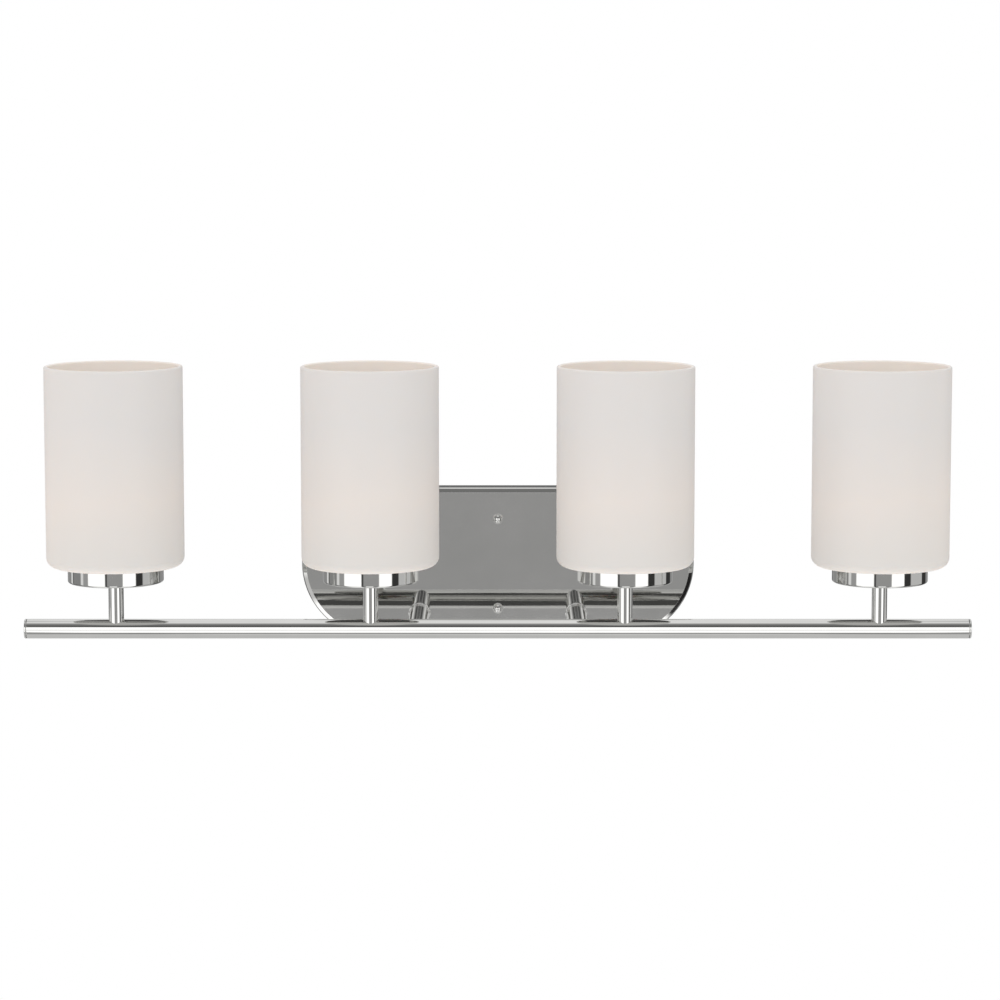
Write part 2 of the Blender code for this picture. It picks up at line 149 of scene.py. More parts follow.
def turned(name, corners, sides=96, ripple=None, cope=None, reach=0):
    """A mesh turned about Z from corners that run down its outer side.

    ripple gives a new radius at each (radius, angle, height), for threads and knurls.
    cope moves the finished points, and keeps the way that they face.
    reach moves the right half out along X and the left half back, which makes an obround.
    """
    closed = min(corner[0] for corner in corners) > 0
    points, facing = outline(corners, closed)
    facing[points[:, 0] == 0, 0] = 0
    rows = len(points)
    angles = np.arange(sides) * TURN / sides
    halves = [np.arange(sides)]
    if reach:
        half = np.linspace(-math.pi / 2, math.pi / 2, sides // 2)
        angles = np.concatenate((half, half + math.pi))
        halves = np.split(np.arange(sides), 2)
    radius = np.repeat(points[:, :1], sides, 1)
    height = np.repeat(points[:, 1:], sides, 1)
    if ripple:
        radius = ripple(radius, angles[None, :], height)
    cos, sin = np.cos(angles), np.sin(angles)
    places = np.stack((radius * cos, radius * sin, height), 2)
    places[:, halves[0], 0] += reach
    places[:, halves[-1], 0] -= reach if len(halves) > 1 else 0
    places = places.reshape(-1, 3)
    normals = np.stack((facing[:, :1] * cos, facing[:, :1] * sin, np.repeat(facing[:, 1:], sides, 1)), 2)
    index = np.arange(rows * sides).reshape(rows, sides)
    for row in np.flatnonzero(points[:, 0] == 0):
        for half in halves:
            index[row, half] = index[row, half[0]]
    faces = []
    for row in range(rows if closed else rows - 1):
        above, below = index[row], index[(row + 1) % rows]
        for first in range(sides):
            second = (first + 1) % sides
            faces.append(tuple(dict.fromkeys(
                int(corner) for corner in (above[first], below[first], below[second], above[second])
            )))
    used = np.unique(index)
    renumber = {int(old): new for new, old in enumerate(used)}
    faces = [tuple(renumber[corner] for corner in face) for face in faces]
    places, normals = places[used], normals.reshape(-1, 3)[used]
    if cope:
        places = cope(places)
    mesh = bpy.data.meshes.new(name)
    mesh.from_pydata(places.tolist(), [], faces)
    mesh.shade_smooth()
    if ripple:
        mesh.set_sharp_from_angle(angle=math.radians(38))
    else:
        lengths = np.linalg.norm(normals, axis=1, keepdims=True)
        mesh.normals_split_custom_set_from_vertices((normals / lengths).tolist())
    return mesh


def wall(radius, top, bottom, spacing):
    """Closely spaced points of a straight wall, for a ripple to work on."""
    count = max(2, round(abs(top - bottom) / spacing))
    return [(radius, top + (bottom - top) * step / count) for step in range(count + 1)]


def thread(radii, depth, pitch, bottom, top, sharp=False):
    """A right-hand screw thread, cut into the walls at these radii, that fades out at its ends."""

    def ripple(radius, angle, height):
        turns = height / pitch - angle / TURN
        wave = 0.5 - 0.5 * np.cos(TURN * turns)
        if sharp:
            wave = np.abs(2 * (turns - np.floor(turns)) - 1)
        fade = np.clip(np.minimum(height - bottom, top - height) / pitch, 0, 1)
        on_wall = np.isclose(radius[..., None], radii, atol=1e-6).any(-1)
        return radius - depth * wave * fade * on_wall

    return ripple


def ribs(outer, depth, count, share=0.5):
    """Grooves along the axis, cut into every point beyond a radius."""

    def ripple(radius, angle, height):
        wave = np.clip((np.cos(count * angle) - share) / (1 - share), 0, 1)
        return radius - depth * wave * (radius > outer)

    return ripple


def bar_saddle(base, radius):
    """Bends the end at this height round a bar of that radius, which lies along X."""

    def cope(places):
        at_end = places[:, 2] < base + 0.5 * MM
        drop = np.sqrt(radius**2 - np.minimum(np.abs(places[:, 1]), radius) ** 2) - radius
        places[:, 2] += np.where(at_end, drop, 0)
        return places

    return cope


# ---- flat and pressed shapes ----


def arc(centre, radius, first, last, steps):
    angles = [math.radians(first + (last - first) * step / steps) for step in range(steps + 1)]
    return [
        (centre[0] + radius * math.cos(angle), centre[1] + radius * math.sin(angle))
        for angle in angles
    ]


def obround(length, height, steps, upright=False, centre=(0, 0)):
    """Outline with half-round ends, its length along X, or along Y where upright."""
    radius = height / 2
    reach = length / 2 - radius
    points = arc((reach, 0), radius, -90, 90, steps) + arc((-reach, 0), radius, 90, 270, steps)
    if upright:
        points = [(-y, x) for x, y in points]
    return [(centre[0] + x, centre[1] + y) for x, y in points]


def circle(radius, centre=(0, 0), sides=48):
    return arc(centre, radius, 0, 360 - 360 / sides, sides - 1)


def finished(obj):
    """The object's evaluated mesh, with the object removed."""
    bpy.context.view_layer.update()
    mesh = bpy.data.meshes.new_from_object(obj.evaluated_get(bpy.context.evaluated_depsgraph_get()))
    bpy.data.objects.remove(obj, do_unlink=True)
    return mesh


def placed(name, mesh):
    obj = bpy.data.objects.new(name, mesh)
    bpy.context.scene.collection.objects.link(obj)
    return obj


def plate(name, outlines, thickness, edge):
    """Flat stock about z = 0, cut to the first outline, less the others, with softened edges."""
    curve = bpy.data.curves.new(name, "CURVE")
    curve.dimensions = "2D"
    curve.fill_mode = "BOTH"
    curve.extrude = thickness / 2
    for points in outlines:
        spline = curve.splines.new("POLY")
        spline.points.add(len(points) - 1)
        for point, (x, y) in zip(spline.points, points):
            point.co = (x, y, 0, 1)
        spline.use_cyclic_u = True
    mesh = finished(placed(name, curve))
    shape = bmesh.new()
    shape.from_mesh(mesh)
    bmesh.ops.remove_doubles(shape, verts=shape.verts, dist=0.001 * MM)
    bmesh.ops.dissolve_limit(shape, angle_limit=math.radians(1), verts=shape.verts, edges=shape.edges)
    shape.to_mesh(mesh)
    shape.free()
    obj = placed(name, mesh)
    soften(obj, edge)
    return finished(obj)


def soften(obj, edge, segments=3):
    bevel = obj.modifiers.new("edges", "BEVEL")
    bevel.width = edge
    bevel.segments = segments
    bevel.limit_method = "ANGLE"
    bevel.angle_limit = math.radians(50)
    bevel.use_clamp_overlap = False
    weight_normals(obj)


def weight_normals(obj):
    obj.data.shade_smooth()
    even = obj.modifiers.new("even shading", "WEIGHTED_NORMAL")
    even.keep_sharp = True


def bored(mesh, holes):
    """The mesh with round holes cut through it, its own shading kept.

    A hole is (centre, radius, length, turn).
    """
    smooth = [Vector(corner.vector) for corner in mesh.corner_normals]
    at_vertex = {loop.vertex_index: smooth[loop.index] for loop in mesh.loops}
    tree = KDTree(len(mesh.vertices))
    for vertex in mesh.vertices:
        tree.insert(vertex.co, vertex.index)
    tree.balance()
    before = bmesh.new()
    before.from_mesh(mesh)
    surface = BVHTree.FromBMesh(before)
    obj = placed(mesh.name, mesh)
    cutters = []
    for centre, radius, length, turn in holes:
        shape = bmesh.new()
        bmesh.ops.create_cone(
            shape, cap_ends=True, segments=64, radius1=radius, radius2=radius, depth=length
        )
        drill = bpy.data.meshes.new("drill")
        shape.to_mesh(drill)
        shape.free()
        cutter = placed("drill", drill)
        cutter.location, cutter.rotation_euler = centre, turn
        cutters.append(cutter)
        obj.modifiers.new("hole", "BOOLEAN").object = cutter
    made = finished(obj)
    for cutter in cutters:
        bpy.data.objects.remove(cutter, do_unlink=True)
    normals = []
    for vertex in made.vertices:
        place, index, distance = tree.find(vertex.co)
        kept = at_vertex.get(index) if distance < 0.001 * MM else None
        normals.append(kept or surface.find_nearest(vertex.co)[1])
    before.free()
    made.shade_smooth()
    made.normals_split_custom_set_from_vertices(normals)
    return made


# ---- finishes ----


class Finish:
    """A node material built round one Principled shader, in metres of object space."""

    def __init__(self, name):
        self.material = bpy.data.materials.new(name)
        self.material.use_nodes = True
        self.nodes = self.material.node_tree.nodes
        self.links = self.material.node_tree.links
        self.shader = self.nodes["Principled BSDF"]
        self.place = self.nodes.new("ShaderNodeTexCoord").outputs["Object"]

    def set(self, **values):
        for name, value in values.items():
            self.shader.inputs[name.replace("_", " ")].default_value = value
        return self

    def stretched(self, scale):
        mapping = self.nodes.new("ShaderNodeMapping")
        mapping.inputs["Scale"].default_value = scale
        self.links.new(self.place, mapping.inputs["Vector"])
        return mapping.outputs["Vector"]

    def noise(self, scale, detail=3, roughness=0.5, place=None):
        """Noise of this many features a metre."""
        node = self.nodes.new("ShaderNodeTexNoise")
        node.inputs["Scale"].default_value = scale
        node.inputs["Detail"].default_value = detail
        node.inputs["Roughness"].default_value = roughness
        self.links.new(place or self.place, node.inputs["Vector"])
        return node.outputs["Fac"]

    def between(self, value, low, high, start=0.3, end=0.7):
        node = self.nodes.new("ShaderNodeMapRange")
        for socket, number in zip(("From Min", "From Max", "To Min", "To Max"), (start, end, low, high)):
            node.inputs[socket].default_value = number
        self.links.new(value, node.inputs["Value"])
        return node.outputs["Result"]

    def colours(self, value, *stops):
        """A colour ramp over (position, colour) stops."""
        node = self.nodes.new("ShaderNodeValToRGB")
        ramp = node.color_ramp
        while len(ramp.elements) < len(stops):
            ramp.elements.new(0.5)
        for element, (position, colour) in zip(ramp.elements, stops):
            element.position = position
            element.color = (*colour, 1)
        self.links.new(value, node.inputs["Fac"])
        return node.outputs["Color"]

    def joined(self, operation, first, second):
        node = self.nodes.new("ShaderNodeMath")
        node.operation = operation
        for socket, value in zip(node.inputs, (first, second)):
            if isinstance(value, (int, float)):
                socket.default_value = value
            else:
                self.links.new(value, socket)
        return node.outputs["Value"]

    def height(self):
        split = self.nodes.new("ShaderNodeSeparateXYZ")
        self.links.new(self.place, split.inputs["Vector"])
        return split.outputs["Z"]

    def reach(self):
        """Distance from the piece's own Z axis."""
        node = self.nodes.new("ShaderNodeVectorMath")
        node.operation = "LENGTH"
        self.links.new(self.stretched((1, 1, 0)), node.inputs[0])
        return node.outputs["Value"]

    def blended(self, share, first, second):
        node = self.nodes.new("ShaderNodeMix")
        node.data_type = "RGBA"
        sockets = node.inputs[0], node.inputs[6], node.inputs[7]
        for socket, value in zip(sockets, (share, first, second)):
            self.links.new(value, socket)
        return node.outputs[2]

    def colour(self, value):
        self.links.new(value, self.shader.inputs["Base Color"])
        return self

    def roughness(self, value):
        self.links.new(value, self.shader.inputs["Roughness"])
        return self

    def bump(self, value, distance, strength=1.0):
        node = self.nodes.new("ShaderNodeBump")
        node.inputs["Distance"].default_value = distance
        node.inputs["Strength"].default_value = strength
        self.links.new(value, node.inputs["Height"])
        self.links.new(node.outputs["Normal"], self.shader.inputs["Normal"])
        return self


def polished_chrome():
    """Bright plate over a buffed casting: nearly even, with a faint polishing haze and wipe marks."""
    finish = Finish("polished_chrome").set(Metallic=1.0)
    haze = finish.noise(28, 4)
    wiped = finish.noise(900, 2, place=finish.stretched((1, 1, 0.12)))
    finish.colour(finish.colours(haze, (0.3, (0.608, 0.608, 0.592)), (0.7, (0.640, 0.636, 0.622))))
    smears = finish.joined("MULTIPLY", haze, wiped)
    return finish.roughness(finish.between(smears, 0.018, 0.055, 0.1, 0.45)).material


def zinc_plate():
    finish = Finish("zinc_plate").set(Metallic=1.0)
    cloud = finish.noise(170, 5, 0.6)
    grain = finish.noise(2600, 2)
    tints = (0.30, (0.46, 0.47, 0.49)), (0.5, (0.58, 0.58, 0.56)), (0.72, (0.64, 0.61, 0.52))
    finish.colour(finish.colours(cloud, *tints))
    finish.roughness(finish.between(cloud, 0.26, 0.42))
    return finish.bump(grain, 0.00004, 0.5).material


def brass():
    finish = Finish("rolled_brass").set(Metallic=1.0)
    tarnish = finish.noise(240, 5, 0.65)
    tints = (0.3, (0.55, 0.38, 0.15)), (0.55, (0.74, 0.54, 0.23)), (0.8, (0.80, 0.61, 0.30))
    finish.colour(finish.colours(tarnish, *tints))
    finish.roughness(finish.between(tarnish, 0.34, 0.18))
    return finish.bump(finish.noise(3000, 2), 0.00002, 0.4).material


def nickel():
    finish = Finish("plated_nickel").set(Metallic=1.0)
    cloud = finish.noise(300, 4)
    finish.colour(finish.colours(cloud, (0.3, (0.56, 0.55, 0.52)), (0.7, (0.70, 0.69, 0.66))))
    finish.roughness(finish.between(cloud, 0.16, 0.3))
    return finish.bump(finish.noise(2400, 2), 0.00002, 0.4).material


def solder():
    finish = Finish("solder_tin").set(Metallic=1.0)
    cloud = finish.noise(900, 4, 0.6)
    finish.colour(finish.colours(cloud, (0.3, (0.36, 0.36, 0.38)), (0.7, (0.55, 0.55, 0.57))))
    finish.roughness(finish.between(cloud, 0.5, 0.32))
    return finish.bump(cloud, 0.00012, 0.6).material


def opal_glass():
    """White cased glass, etched satin: barely mottled, with a painted glow (lighter and warmer round the
    bulb's height) and a painted lit inside (lighter and warmer than the outside).
    """
    finish = Finish("opal_glass").set(IOR=1.5, Subsurface_Weight=0.2, Subsurface_Scale=0.006)
    finish.set(Subsurface_Radius=(1.0, 0.8, 0.65), Specular_IOR_Level=0.3)
    cloud = finish.noise(16, 4)
    low = finish.between(finish.height(), 0.0, 1.0, 0.03, 0.19)
    tone = finish.joined("ADD", low, finish.joined("MULTIPLY", cloud, 0.25))
    # Painted glow: the outside is lighter and warmer round the bulb's height, as if the lamp shone
    # through, and cooler at the floor and the lip.
    outside = finish.colours(
        tone, (0.20, (0.715, 0.716, 0.708)), (0.62, (0.778, 0.745, 0.722)), (1.0, (0.720, 0.718, 0.720))
    )
    # Painted light: the inside wall is a lighter, warmer lit copy of the glass, chosen by radius,
    # standing in for light inside the shade.
    inside = finish.colours(cloud, (0.3, (0.900, 0.850, 0.812)), (0.7, (0.915, 0.868, 0.830)))
    radius = width("glass_shade_1") / 2
    finish.colour(
        finish.blended(finish.between(finish.reach(), 0, 1, radius - GLASS_WALL, radius), inside, outside)
    )
    finish.roughness(finish.between(finish.noise(420, 3), 0.42, 0.56))
    return finish.bump(finish.noise(1500, 2), 0.00001, 0.3).material


def bulb_white():
    finish = Finish("bulb_white").set(IOR=1.5, Subsurface_Weight=0.3, Subsurface_Scale=0.004)
    cloud = finish.noise(40, 3)
    finish.colour(finish.colours(cloud, (0.3, (0.86, 0.84, 0.79)), (0.7, (0.90, 0.88, 0.84))))
    return finish.roughness(finish.between(finish.noise(700, 2), 0.22, 0.34)).material


def porcelain():
    finish = Finish("glazed_porcelain").set(Coat_Weight=0.6, Coat_Roughness=0.08)
    cloud = finish.noise(120, 4)
    specks = finish.noise(2200, 2)
    specks = finish.joined("MULTIPLY", specks, 0.3)
    tone = finish.joined("ADD", finish.joined("MULTIPLY", cloud, 0.7), specks)
    tints = (0.32, (0.66, 0.63, 0.57)), (0.45, (0.79, 0.77, 0.72)), (0.7, (0.83, 0.81, 0.77))
    finish.colour(finish.colours(tone, *tints))
    finish.roughness(finish.between(cloud, 0.2, 0.32))
    return finish.bump(cloud, 0.0001, 0.3).material


def black_glass():
    finish = Finish("black_glass")
    cloud = finish.noise(300, 3)
    finish.colour(finish.colours(cloud, (0.3, (0.012, 0.013, 0.016)), (0.7, (0.03, 0.028, 0.034))))
    return finish.roughness(finish.between(cloud, 0.08, 0.2)).material


def moulded(name, deep, light):
    """Moulded cap plastic: a light spark texture, and paler in random patches."""
    finish = Finish(name)
    cloud = finish.noise(220, 4)
    finish.colour(finish.colours(cloud, (0.3, deep), (0.7, light)))
    finish.roughness(finish.between(cloud, 0.38, 0.52))
    return finish.bump(finish.noise(3800, 2), 0.00003, 0.5).material


def green_dye():
    finish = Finish("green_dyed_zinc").set(Metallic=0.6)
    cloud = finish.noise(420, 4)
    finish.colour(finish.colours(cloud, (0.3, (0.03, 0.2, 0.07)), (0.7, (0.07, 0.34, 0.13))))
    finish.roughness(finish.between(cloud, 0.28, 0.42))
    return finish.bump(finish.noise(2500, 2), 0.00003, 0.4).material


def sleeving():
    """Woven glass sleeving over the lead: two sets of fine threads that cross."""
    finish = Finish("lead_sleeving")
    weaves = []
    for slant in (1, -1):
        wave = finish.nodes.new("ShaderNodeTexWave")
        wave.inputs["Scale"].default_value = 420
        mapping = finish.nodes.new("ShaderNodeMapping")
        mapping.inputs["Rotation"].default_value = (0, 0, slant * math.radians(38))
        finish.links.new(finish.place, mapping.inputs["Vector"])
        finish.links.new(mapping.outputs["Vector"], wave.inputs["Vector"])
        weaves.append(wave.outputs["Fac"])
    weave = finish.joined("MULTIPLY", *weaves)
    finish.colour(finish.colours(weave, (0.0, (0.58, 0.57, 0.53)), (0.6, (0.80, 0.79, 0.76))))
    finish.roughness(finish.between(weave, 0.75, 0.55, 0, 1))
    return finish.bump(weave, 0.0001, 0.7).material


FINISHES = {
    "chrome": polished_chrome(),
    "zinc_steel": zinc_plate(),
    "brass": brass(),
    "nickel": nickel(),
    "tin": solder(),
    "opal_glass": opal_glass(),
    "bulb_glass": bulb_white(),
    "porcelain": porcelain(),
    "green_screw": green_dye(),
    "lead_insulation": sleeving(),
    "orange_plastic": moulded("orange_cap", (0.66, 0.19, 0.03), (0.80, 0.29, 0.07)),
    "yellow_plastic": moulded("yellow_cap", (0.72, 0.52, 0.04), (0.84, 0.65, 0.10)),
}


def piece(node, data, slot, at=(0, 0, 0), turn=(0, 0, 0), body=FIXTURE):
    """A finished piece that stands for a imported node."""
    obj = placed(node + "_look", data)
    obj.location, obj.rotation_euler = at, turn
    if not data.materials:
        data.materials.append(FINISHES[slot])
    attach(obj, body)
    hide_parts(node)
    return obj


# ---- wall side ----


def make_canopy():
    """A pressed pan with a slanting edge, open to the wall, with holes for the studs and the arms."""
    depth = -CANOPY_FRONT
    radius = width("canopy", 2) / 2
    inner = radius - SHEET
    ceiling = depth - SHEET
    slant_width, slant_depth = 3.9 * MM, 2.15 * MM
    profile = [(0, depth), (radius - slant_width, depth, 0.25 * MM)]
    profile += [(radius, depth - slant_depth, 2 * MM)]
    profile += [(radius, 0, 0.15 * MM), (inner, 0, 0.15 * MM), (inner, ceiling - slant_depth, 1.2 * MM)]
    profile += [(inner - slant_width, ceiling, 0.8 * MM), (0, ceiling)]
    pan = turned("canopy", profile, 240, reach=width("canopy") / 2 - radius)
    holes = [((0, sign * STUD_HEIGHT, depth), NUT_BORE, 6 * SHEET, (0, 0, 0)) for _, sign in HEIGHTS]
    spigot_hole = SPIGOT_RADIUS + FIT
    holes += [((sign * ARM_X, BAR_Z, depth), spigot_hole, 6 * SHEET, (0, 0, 0)) for _, sign in SIDES]
    piece("canopy", bored(pan, holes), "chrome", turn=FACING_OUT)


def make_strap():
    """Flat steel crossbar: holes for the studs and the ground screw, a slot for each box screw."""
    slot_length, slot_width, slot_height = 13 * MM, 4.5 * MM, 49.5 * MM
    outlines = [obround(width("mounting_strap", 2), width("mounting_strap"), 24, upright=True)]
    for _, sign in HEIGHTS:
        outlines.append(circle(NUT_BORE, (0, sign * STUD_HEIGHT)))
        slot_centre = (0, sign * slot_height)
        outlines.append(obround(slot_length, slot_width, 16, upright=True, centre=slot_centre))
    outlines.append(circle(NUT_BORE, (0, middle("ground_screw").z)))
    mesh = plate("strap", outlines, width("mounting_strap", 1), 0.25 * MM)
    piece("mounting_strap", mesh, "zinc_steel", (0, middle("mounting_strap").y, 0), FACING_OUT)


def make_stud_hardware():
    """Threaded studs, the ball nuts on them, and the green ground screw."""
    stud_length = width("canopy_stud_upper", 1)
    spacing = STUD_PITCH / 6
    shank = [(0, stud_length), (STUD_RADIUS - 0.4 * MM, stud_length)]
    shank += wall(STUD_RADIUS, stud_length - 0.4 * MM, 0.3 * MM, spacing)
    shank += [(STUD_RADIUS - 0.3 * MM, 0), (0, 0)]
    cut = thread((STUD_RADIUS,), STUD_THREAD, STUD_PITCH, 0, stud_length, sharp=True)
    stud = turned("stud", shank, 48, cut)

    ball_height = width("ball_nut_upper", 1)
    ball = width("ball_nut_upper") / 2
    centre = ball_height - ball
    seat = math.degrees(math.asin(centre / ball))
    profile = arc((0, centre), ball, 90, -seat, 24)
    profile[0] = (0, ball_height)
    drilled = 1.3 * ball
    profile = profile[:-1] + [(profile[-1][0], 0, 0.1 * MM), (NUT_BORE, 0, 0.15 * MM)]
    profile += [(NUT_BORE, drilled, 0.3 * MM), (0, drilled)]
    nut = turned("ball_nut", profile, 96)
    for label, sign in HEIGHTS:
        height = sign * STUD_HEIGHT
        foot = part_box("canopy_stud_" + label)[1].y
        piece("canopy_stud_" + label, stud, "zinc_steel", (0, foot, height), FACING_OUT)
        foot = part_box("ball_nut_" + label)[1].y
        piece("ball_nut_" + label, nut, "chrome", (0, foot, height), FACING_OUT)

    top = -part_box("ground_screw")[0].y
    head = width("ground_screw") / 2
    under = 2.8 * MM
    washer = under + 0.8 * MM
    hexagon = 0.82 * head
    profile = [(0, top - 0.2 * MM), (hexagon - 0.5 * MM, top, 0.3 * MM), (hexagon, washer + 0.1 * MM)]
    profile += [(hexagon, washer, 0.1 * MM), (head, washer, 0.2 * MM), (head, under, 0.2 * MM)]
    profile += [(STUD_RADIUS, under, 0.1 * MM)] + wall(STUD_RADIUS, under - 0.2 * MM, 0.6 * MM, spacing)
    profile += [(STUD_RADIUS - 0.3 * MM, FIT, 0.1 * MM), (0, FIT)]
    cut = thread((STUD_RADIUS,), STUD_THREAD, STUD_PITCH, 0, under, sharp=True)

    def hex_head(radius, angle, height):
        flat = math.cos(math.pi / 6) / np.cos(angle % (math.pi / 3) - math.pi / 6)
        limit = np.where(height > washer, hexagon * flat, 1)
        return np.minimum(cut(radius, angle, height), limit)

    screw = turned("ground_screw", profile, 48, hex_head)
    piece("ground_screw", screw, "green_screw", (0, 0, middle("ground_screw").z), FACING_OUT)


def make_wire_nuts():
    """Blind caps with their mouths down: a ribbed skirt, a tapering crown and a coiled spring's bore."""
    mouth = width("wire_nut_live") / 2
    length = width("wire_nut_live", 2)
    tip, bore, deep = 3.4 * MM, 4 * MM, 8 * MM
    skirt = 0.35 * length
    levels = [height for _, height in wall(tip, length - 1.2 * MM, skirt, 2 * MM)[1:-1]]
    profile = [(0, length), (tip, length, 0.9 * MM)]
    profile += [(tip + (mouth - tip) * (length - level) / (length - skirt), level) for level in levels]
    profile += [(mouth, skirt, 1 * MM), (mouth, 1.2 * MM), (mouth, 0, 0.4 * MM)]
    profile += [(bore, 0, 0.3 * MM)] + wall(bore, 0.6 * MM, deep, 0.25 * MM) + [(0, deep)]
    grooves = ribs(tip - 0.3 * MM, 0.35 * MM, 14, 0.2)
    spring = thread((bore,), 0.25 * MM, 1.1 * MM, 0.6 * MM, deep)

    def ripple(radius, angle, height):
        inside = (radius <= bore + 0.01 * MM) & (height <= deep)
        outside = (height > 1.3 * MM) & (height < length - 1 * MM)
        ribbed = np.where(outside, grooves(radius, angle, height), radius)
        return np.where(inside, spring(radius, angle, height), ribbed)

    mesh = turned("wire_nut", profile, 112, ripple)
    for label, slot in (("live", "orange_plastic"), ("neutral", "yellow_plastic")):
        node = "wire_nut_" + label
        spot = middle(node)
        piece(node, mesh.copy(), slot, (spot.x, spot.y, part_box(node)[0].z))


# ---- bar and arms ----


def make_bar():
    """A tube with a hole for each nipple and each arm, and a plug in each end."""
    length = width("bar_tube") / 2
    profile = [(BAR_RADIUS, length, 0.25 * MM), (BAR_RADIUS, -length, 0.25 * MM)]
    profile += [(BAR_BORE, -length, 0.2 * MM), (BAR_BORE, length, 0.2 * MM)]
    tube = turned("bar_tube", profile, 160)
    tube.transform(Matrix.Rotation(math.pi / 2, 4, "Y"))
    holes = [
        ((middle(f"post_{n}").x, 0, BAR_RADIUS), NIPPLE_RADIUS + FIT, 2 * BAR_RADIUS, (0, 0, 0))
        for n in LAMPS
    ]
    holes += [
        ((sign * ARM_X, BAR_RADIUS, 0), ARM_BORE + FIT, 2 * BAR_RADIUS, FACING_OUT)
        for _, sign in SIDES
    ]
    piece("bar_tube", bored(tube, holes), "chrome", (0, BAR_Y, BAR_Z))

    plug = width("bar_end_plug_right")
    shoulder = plug - 1.3 * MM
    stub = BAR_BORE - FIT
    profile = [(0, plug), (BAR_RADIUS, plug, 0.45 * MM), (BAR_RADIUS, shoulder, 0.1 * MM)]
    profile += [(stub, shoulder, 0.1 * MM), (stub, 0, 0.6 * MM), (0, 0)]
    cap = turned("bar_end_plug", profile, 128)
    for label, sign in SIDES:
        node = "bar_end_plug_" + label
        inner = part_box(node)[0 if sign > 0 else 1].x
        piece(node, cap, "chrome", (inner, BAR_Y, BAR_Z), (0, sign * math.pi / 2, 0))


def make_arms():
    """Each arm stands on a stepped collar, meets the bar in a saddle and screws in by its spigot."""
    collar_radius = width("arm_left") / 2
    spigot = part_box("arm_left")[1].y - CANOPY_FRONT + FIT
    arm_radius, collar = 8 * MM, 2.5 * MM
    reach = -BAR_Y + CANOPY_FRONT - FIT - BAR_RADIUS - TOUCH
    pitch = 1 * MM
    profile = [(arm_radius, -reach, 0.15 * MM), (ARM_BORE, -reach, 0.15 * MM)]
    profile += [(ARM_BORE, spigot, 0.3 * MM), (SPIGOT_RADIUS, spigot, 0.3 * MM)]
    profile += [(SPIGOT_RADIUS, 0, 0.1 * MM), (collar_radius, 0, 0.15 * MM)]
    profile += [(collar_radius, -collar, 0.6 * MM), (arm_radius, -collar, 0.25 * MM)]
    arm = turned("arm", profile, 128, cope=bar_saddle(-reach, BAR_RADIUS + TOUCH))
    across = width("arm_locknut_left", 2)
    corner = width("arm_locknut_left") / 2
    thick = width("arm_locknut_left", 1)
    chamfer = 0.5 * MM
    bore, countersink = SPIGOT_RADIUS + FIT, 0.4 * MM
    profile = [(corner, share * thick) for share in (1, 0.85, 0.5, 0.15, 0)]
    profile += [(bore + countersink, 0)] + wall(bore, 0.35 * MM, thick - 0.35 * MM, pitch / 8)
    profile += [(bore + countersink, thick)]
    cut = thread((bore,), -0.25 * MM, pitch, 0, thick, sharp=True)

    def hexagonal(radius, angle, height):
        """Six flats, with the corners turned off at both faces."""
        flats = across / 2 / np.cos(angle % (math.pi / 3) - math.pi / 6)
        nearest = np.minimum(height, thick - height)
        turned_off = across / 2 - chamfer / 2 + 1.8 * nearest
        sides = np.minimum(flats, turned_off)
        return np.where(radius > corner - 0.01 * MM, sides, cut(radius, angle, height))

    nut = turned("arm_locknut", profile, 96, hexagonal)
    for label, sign in SIDES:
        base = CANOPY_FRONT - FIT
        piece("arm_" + label, arm, "chrome", (sign * ARM_X, base, BAR_Z), (-math.pi / 2, 0, 0))
        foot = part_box("arm_locknut_" + label)[1].y
        piece("arm_locknut_" + label, nut, "zinc_steel", (sign * ARM_X, foot, BAR_Z), FACING_OUT)


# ---- lamps ----


def post_mesh():
    """A hollow post, its foot cut to a saddle over the bar."""
    top = heights("post_1")[1] + FIT - TOUCH
    radius = width("post_1") / 2
    base = BAR_RADIUS + TOUCH
    profile = [(radius, top, 0.2 * MM), (radius, base, 0.12 * MM)]
    profile += [(POST_BORE, base, 0.12 * MM), (POST_BORE, top, 0.12 * MM)]
    return turned("post", profile, 128, cope=bar_saddle(base, base))


def nipple_mesh():
    """All-thread pipe nipple with chamfered ends."""
    bottom, top = heights("nipple_1")
    pitch, depth = 0.94 * MM, 0.4 * MM
    root = NIPPLE_RADIUS - depth
    profile = [(root, top)] + wall(NIPPLE_RADIUS, top - depth, bottom + depth, pitch / 5)
    profile += [(root, bottom), (NIPPLE_BORE, bottom), (NIPPLE_BORE, top)]
    cut = thread((NIPPLE_RADIUS,), depth, pitch, bottom, top, sharp=True)
    return turned("nipple", profile, 48, cut)


def cup_mesh():
    """A shallow spun pan with a crisp rolled corner, its lip a little rounded."""
    bottom, top = heights("shade_cup_1")
    radius = width("shade_cup_1") / 2
    profile = [(radius, top, 0.3 * MM), (radius, bottom, 1.6 * MM), (POST_BORE, bottom, 0.1 * MM)]
    profile += [(POST_BORE, bottom + SHEET, 0.1 * MM), (radius - SHEET, bottom + SHEET, 1 * MM)]
    profile += [(radius - SHEET, top, 0.3 * MM)]
    return turned("shade_cup", profile, 256)


def shade_mesh():
    """A blown tumbler with fire-polished lips and a generous bottom corner."""
    bottom, top = heights("glass_shade_1")
    radius = width("glass_shade_1") / 2
    inner = radius - GLASS_WALL
    floor = bottom + GLASS_WALL
    hole = 21 * MM
    profile = [(radius, top, 1.3 * MM), (radius, bottom, 8 * MM), (hole, bottom, 1 * MM)]
    profile += [(hole, floor, 1 * MM), (inner, floor, 4.5 * MM), (inner, top, 1.3 * MM)]
    return turned("glass_shade", profile, 256)


